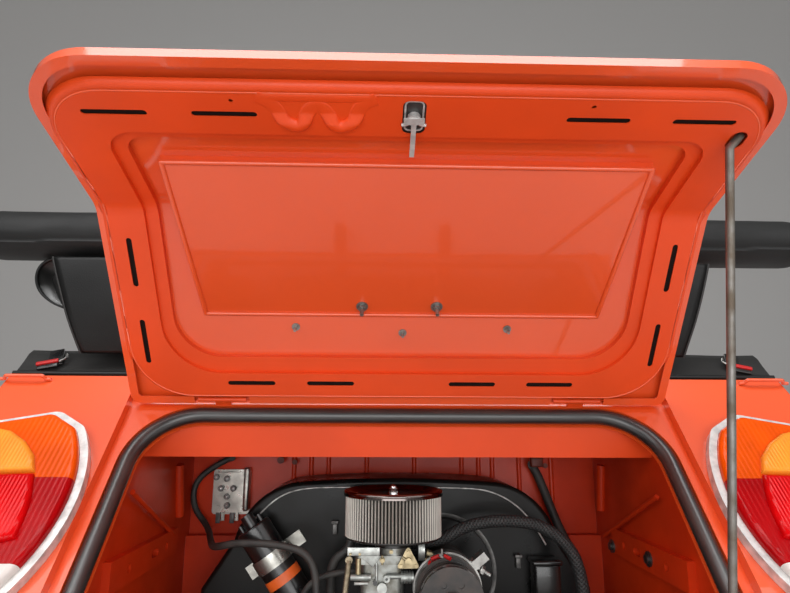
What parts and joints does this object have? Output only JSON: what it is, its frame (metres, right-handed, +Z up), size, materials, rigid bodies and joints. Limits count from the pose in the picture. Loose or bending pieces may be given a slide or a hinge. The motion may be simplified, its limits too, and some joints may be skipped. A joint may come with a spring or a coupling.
{
  "type": "rear body section of an open-top utility car with its engine bay",
  "caption": "Rear section of an open-top utility car: folded panel with tail lamps, hinged engine lid on a prop rod, flat engine with cooling shroud, folded soft top.",
  "frame": {"origin": "centre of the front face of the cross member, level with the engine lid's hinge line, where the section joins the rest of the body", "axes": "+X to the car's right, +Y to the car's front, +Z up"},
  "size_m": [1.496, 0.7728, 1.0512],
  "materials": {
    "paint": "satin",
    "paint_inner": "satin",
    "black_paint": "gloss",
    "bare_aluminium": "satin",
    "cast_aluminium": "rough",
    "steel": "satin",
    "chrome": "polished",
    "cast_case": "rough",
    "rubber": "satin",
    "vinyl": "satin",
    "orange_plastic": "satin",
    "amber_lens": "gloss",
    "red_lens": "gloss",
    "clear_lens": "gloss",
    "filter_paper": "matte"
  },
  "bodies": {
    "section": {"battery_cable": "rubber", "bay_wall_left": "paint_inner", "bay_wall_right": "paint_inner", "body_hinge_leaves": "paint_inner", "breather_hose": "rubber", "bulkhead": "paint_inner", "carburettor": "cast_aluminium", "coil_clamp": "bare_aluminium", "coil_ring": "orange_plastic", "crankcase": "cast_case", "cross_member": "paint", "cylinder_banks": "cast_case", "engine_tin": "black_paint", "fan_belt": "rubber", "fan_shroud": "black_paint", "filter_base": "black_paint", "filter_element": "filter_paper", "filter_lid": "black_paint", "fuel_hose": "rubber", "generator": "black_paint", "generator_stand": "cast_aluminium", "generator_strap": "steel", "heater_hose": "rubber", "hinge_header": "paint_inner", "ignition_coil": "black_paint", "inlet_manifold": "black_paint", "lamp_amber": "amber_lens", "lamp_bezels": "chrome", "lamp_clear": "clear_lens", "lamp_red": "red_lens", "oil_filler": "black_paint", "opening_seal": "rubber", "rear_apron": "paint", "rear_deck": "paint", "rear_panel": "paint", "regulator": "bare_aluminium", "rocker_covers": "black_paint", "rod_lug": "paint_inner", "side_left": "paint", "side_right": "paint", "silencer": "black_paint", "tie_loops": "chrome", "top_bows": "black_paint", "top_roll": "vinyl", "top_skirt": "vinyl", "top_stack": "vinyl", "vent_hose": "rubber"},
    "lid": {"lid_skin": "paint", "lid_frame": "paint_inner", "lid_lock": "steel", "lid_hinge_leaves": "paint_inner", "lid_studs": "steel"},
    "prop": {"prop_rod": "steel"},
    "generator_rotor": {"generator_pulley": "steel"},
    "crank_rotor": {"crank_pulley": "steel"}
  },
  "joints": [
    {"name": "lid_hinge", "type": "hinge", "parent": "section", "child": "lid", "pos_m": [0, -0.34348, 0.00464], "axis": [1, 0, 0], "range_deg": [0, 104.5]},
    {"name": "prop_fold", "type": "hinge", "parent": "lid", "child": "prop", "pos_m": [0.38497, -0.67685, 0.29581], "axis": [-0.6896, -0.0566, -0.722], "range_deg": [0, 207]},
    {"name": "crank_spin", "type": "hinge", "parent": "section", "child": "crank_rotor", "pos_m": [-0.012, -0.372, -0.545], "axis": [0, 1, 0], "continuous": true},
    {"name": "generator_spin", "type": "hinge", "parent": "section", "child": "generator_rotor", "pos_m": [0.076, -0.372, -0.29], "axis": [0, 1, 0], "continuous": true}
  ],
  "couplings": [
    {"joint": "prop_fold", "follows": "lid_hinge", "ratio": 1.9761},
    {"joint": "generator_spin", "follows": "crank_spin", "ratio": 1.9744}
  ]
}
